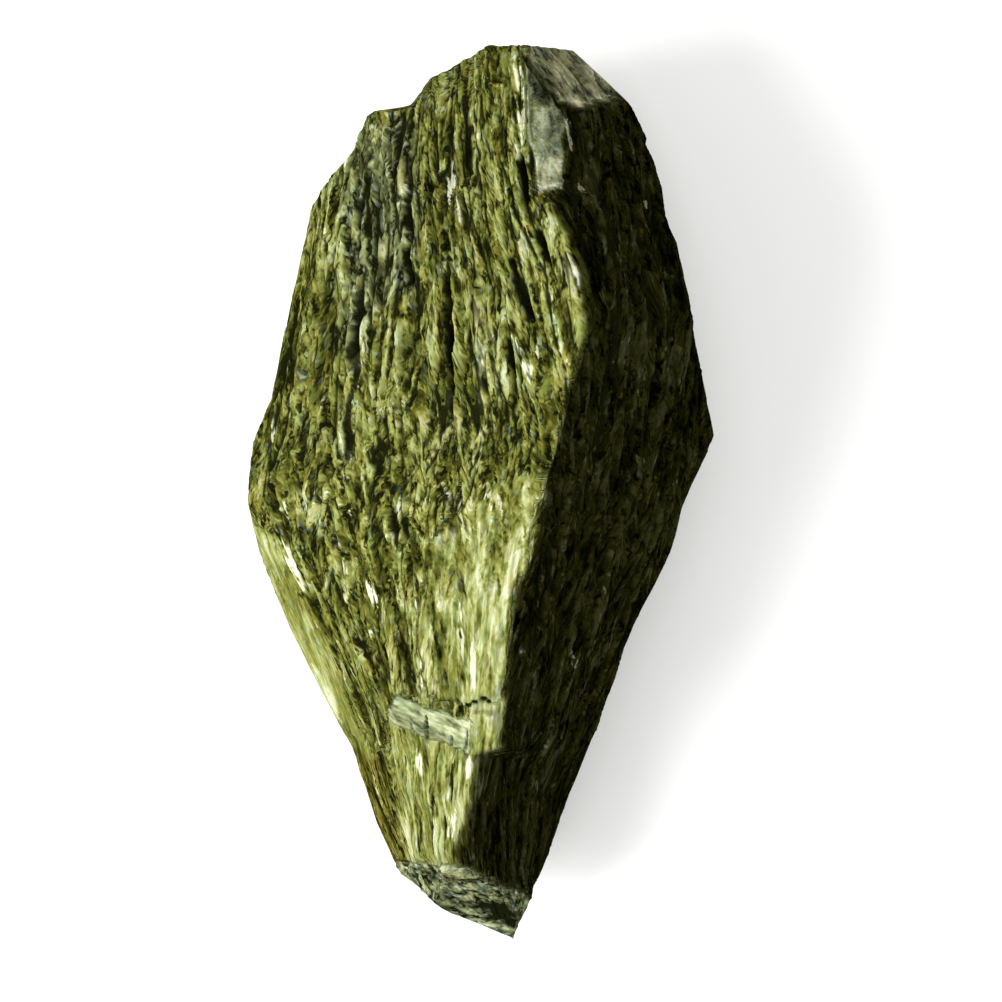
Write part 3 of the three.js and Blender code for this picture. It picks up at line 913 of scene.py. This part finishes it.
def crystal_finish(name, colours):
    """Yellow-green fibres over near-black gaps of painted shade, with a dark side of painted shade over
    the stone's own darker colour, that some painted glints and specks show up on.
    """
    finish = Finish(name)
    fibre = fibre_patterns(finish)
    light, glint = lightness(fibre), glints(fibre)
    # Painted glints and highlights in white.
    body = finish.mix(glint, stone_colour(finish, colours, fibre, light), (*colours.white, 1.0))
    # The dark side is tinted with painted shade, over the stone's own darker colour.
    body = finish.tinted(fibre.dark * (1 - glint * 0.35) * (1 - fibre.speck * 0.12), body, colours.shade)
    # Painted shade: the gaps are painted near-black.
    body = finish.mix(fibre.gap.rise(0.15, 0.7) * 0.96, body, (*colours.gap, 1.0))
    gloss = light.rise(0.45, 0.9) * (1 - fibre.dark * 0.8) * (1 - fibre.gap)
    return finish.surface(
        Base_Color=body, Roughness=0.5, IOR=1.62, Specular_IOR_Level=0.0, Coat_Weight=gloss * 0.5,
        Coat_Roughness=0.24, Normal=finish.bump(fine_height(fibre), BUMP_HEIGHT))


def colour(name, description, value):
    return bpy.props.FloatVectorProperty(
        name=name, description=description, subtype="COLOR", size=3, min=0.0, max=1.0, default=value)


class ColourSettings(bpy.types.PropertyGroup):
    # painted shade in the cracks and the grooves
    gap: colour("Gaps", "In the cracks between splinters", (0.006, 0.007, 0.002))
    deep: colour("Deep", "The darkest green of the splinters", (0.042, 0.046, 0.007))
    olive: colour("Olive", "Between dark and light green", (0.135, 0.144, 0.030))
    green: colour("Green", "The usual light green", (0.250, 0.272, 0.094))
    pale: colour("Pale green", "The lightest splinters", (0.346, 0.358, 0.226))
    slate: colour("Slate", "The darker broken ends", (0.067, 0.088, 0.068))
    grey: colour("Grey", "The paler broken ends", (0.246, 0.281, 0.196))
    # painted glints and highlights
    white: colour("White", "Flecks and fresh chips", (0.640, 0.670, 0.500))
    brown: colour("Brown", "What tints the brown band", (0.8, 0.62, 0.42))
    straw: colour("Straw", "What tints the yellower streaks", (1.0, 0.93, 0.76))
    moss: colour("Moss", "What tints the greener streaks", (0.8, 0.94, 0.9))
    # painted shade over the stone's own darker colour, on the dark side
    shade: colour("Shade", "What tints the dark side", (0.088, 0.085, 0.056))


def length(name, description, millimetres):
    return bpy.props.FloatProperty(
        name=name, description=description, subtype="DISTANCE", unit="LENGTH", precision=5, min=0.0,
        default=millimetres * MM)


def count(name, description, number):
    return bpy.props.IntProperty(name=name, description=description, default=number, min=32)


class StoneSettings(bpy.types.PropertyGroup):
    columns: count("Columns", "Points round the stone", 440)
    rows: count("Rows", "Rings of points along the stone", 226)
    swell: length("Swell", "How far the surface rolls", 0.15)
    bundle_width: length("Bundle width", "Width of the bundles of rods", 2.8)
    bundle_length: length("Bundle length", "Length of the bundles of rods", 22.0)
    bundle_relief: length("Bundle relief", "How far the bundles stand out", 0.18)
    rod_width: length("Rod width", "Width of the rods", 1.1)
    rod_length: length("Rod length", "Length of the rods", 9.0)
    rod_relief: length("Rod relief", "How far the rods stand out", 0.14)
    splinter_width: length("Splinter width", "Width of the splinters", 0.6)
    splinter_length: length("Splinter length", "Length of the splinters", 2.4)
    splinter_relief: length("Splinter relief", "How far the splinters stand out", 0.09)


def power(name, description, watts):
    return bpy.props.FloatProperty(
        name=name, description=description, subtype="POWER", unit="POWER", min=0.0, default=watts)


class StageSettings(bpy.types.PropertyGroup):
    floor: colour("Floor", "The floor and its far walls", (0.86, 0.86, 0.85))
    daylight: bpy.props.FloatProperty(
        name="Daylight", description="Strength of the light from all round", default=0.5, min=0.0)
    key: power("Key light", "Power of the light that comes in low from the side", 2.9)
    fill: power("Fill light", "Power of the light overhead", 1.7)
    lens: bpy.props.FloatProperty(
        name="Lens", description="Focal length of the camera, in millimetres", subtype="DISTANCE_CAMERA",
        unit="CAMERA", default=180.0, min=10.0)
    view_width: length("View width", "How wide the picture is at the stone", 67.86)


class TOURMALINE_OT_stone(bpy.types.Operator):
    """Builds the stone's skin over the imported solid"""
    bl_idname = "tourmaline.stone"
    bl_label = "Stone"

    def execute(self, context):
        skin = build_skin(context.scene.tourmaline_stone)
        rows, columns = skin.points.shape[:2]
        numbers = {
            key: np.concatenate([value, value[[0, -1]]]) for key, value in finish_numbers(skin).items()}
        for end, row in ((-2, 0), (-1, rows - 1)):
            numbers["grain"][end] = numbers["grain"][row * columns:(row + 1) * columns].mean(0)
        points = np.concatenate([skin.points.reshape(-1, 3), skin.ends])
        stone = mesh_object("tourmaline_stone", points, skin_faces(rows, columns), numbers)
        stone.data.materials.append(crystal_finish("crystal_skin", context.scene.tourmaline_colours))
        for polygon in stone.data.polygons:
            polygon.use_smooth = True
        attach(stone, "root")
        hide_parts(NODE)
        return {"FINISHED"}


class TOURMALINE_OT_stage(bpy.types.Operator):
    """Lays the floor and sets the lights and the camera"""
    bl_idname = "tourmaline.stage"
    bl_label = "Stage"

    def execute(self, context):
        scene, settings = context.scene, context.scene.tourmaline_stage
        corners = np.array([(-1, -1, 0), (1, -1, 0), (1, 1, 0), (-1, 1, 0)]) * FLOOR_REACH
        floor = mesh_object("floor", corners, [(0, 1, 2, 3)], {})
        floor.data.materials.append(
            Finish("floor").surface(Base_Color=(*settings.floor, 1.0), Roughness=0.9))
        scene.world = bpy.data.worlds.new("studio")
        scene.world.use_nodes = True
        sky = scene.world.node_tree.nodes["Background"].inputs
        sky["Color"].default_value = (1.0, 1.0, 1.0, 1.0)
        sky["Strength"].default_value = settings.daylight
        for name, (place, size) in LAMPS.items():
            lamp = bpy.data.objects.new(name, bpy.data.lights.new(name, "AREA"))
            lamp.data.size, lamp.data.energy = size, getattr(settings, name)
            lamp.location = place
            aim = Vector(LAMP_TARGET) - Vector(place)
            lamp.rotation_euler = aim.to_track_quat("-Z", "Y").to_euler()
            scene.collection.objects.link(lamp)
        camera = bpy.data.objects.new("camera", bpy.data.cameras.new("camera"))
        camera.data.lens = settings.lens
        camera.data.sensor_width = 36.0
        camera.data.clip_start, camera.data.clip_end = 0.01, 10.0
        distance = settings.view_width * settings.lens / camera.data.sensor_width
        camera.location = (VIEW_X, VIEW_Y, distance + VIEW_HEIGHT)
        scene.collection.objects.link(camera)
        scene.camera = camera
        scene.view_settings.view_transform = "Standard"
        return {"FINISHED"}


class TOURMALINE_PT_panel(bpy.types.Panel):
    """Lists the steps and the settings that they read"""
    bl_idname = "TOURMALINE_PT_panel"
    bl_label = "Rough tourmaline"
    bl_space_type = "VIEW_3D"
    bl_region_type = "UI"
    bl_category = "Tourmaline"

    def draw(self, context):
        for step, settings in (
            (TOURMALINE_OT_stone, (context.scene.tourmaline_stone, context.scene.tourmaline_colours)),
            (TOURMALINE_OT_stage, (context.scene.tourmaline_stage,)),
        ):
            box = self.layout.box()
            box.operator(step.bl_idname)
            for group in settings:
                for key in group.__annotations__:
                    box.prop(group, key)


GROUPS = {
    "tourmaline_stone": StoneSettings,
    "tourmaline_colours": ColourSettings,
    "tourmaline_stage": StageSettings,
}
CLASSES = (*GROUPS.values(), TOURMALINE_OT_stone, TOURMALINE_OT_stage, TOURMALINE_PT_panel)


def register():
    for cls in CLASSES:
        bpy.utils.register_class(cls)
    for name, group in GROUPS.items():
        setattr(bpy.types.Scene, name, bpy.props.PointerProperty(type=group))


def unregister():
    for name in GROUPS:
        delattr(bpy.types.Scene, name)
    for cls in reversed(CLASSES):
        bpy.utils.unregister_class(cls)


def main():
    register()
    bpy.ops.tourmaline.stone()
    bpy.ops.tourmaline.stage()


if __name__ == "__main__":
    main()
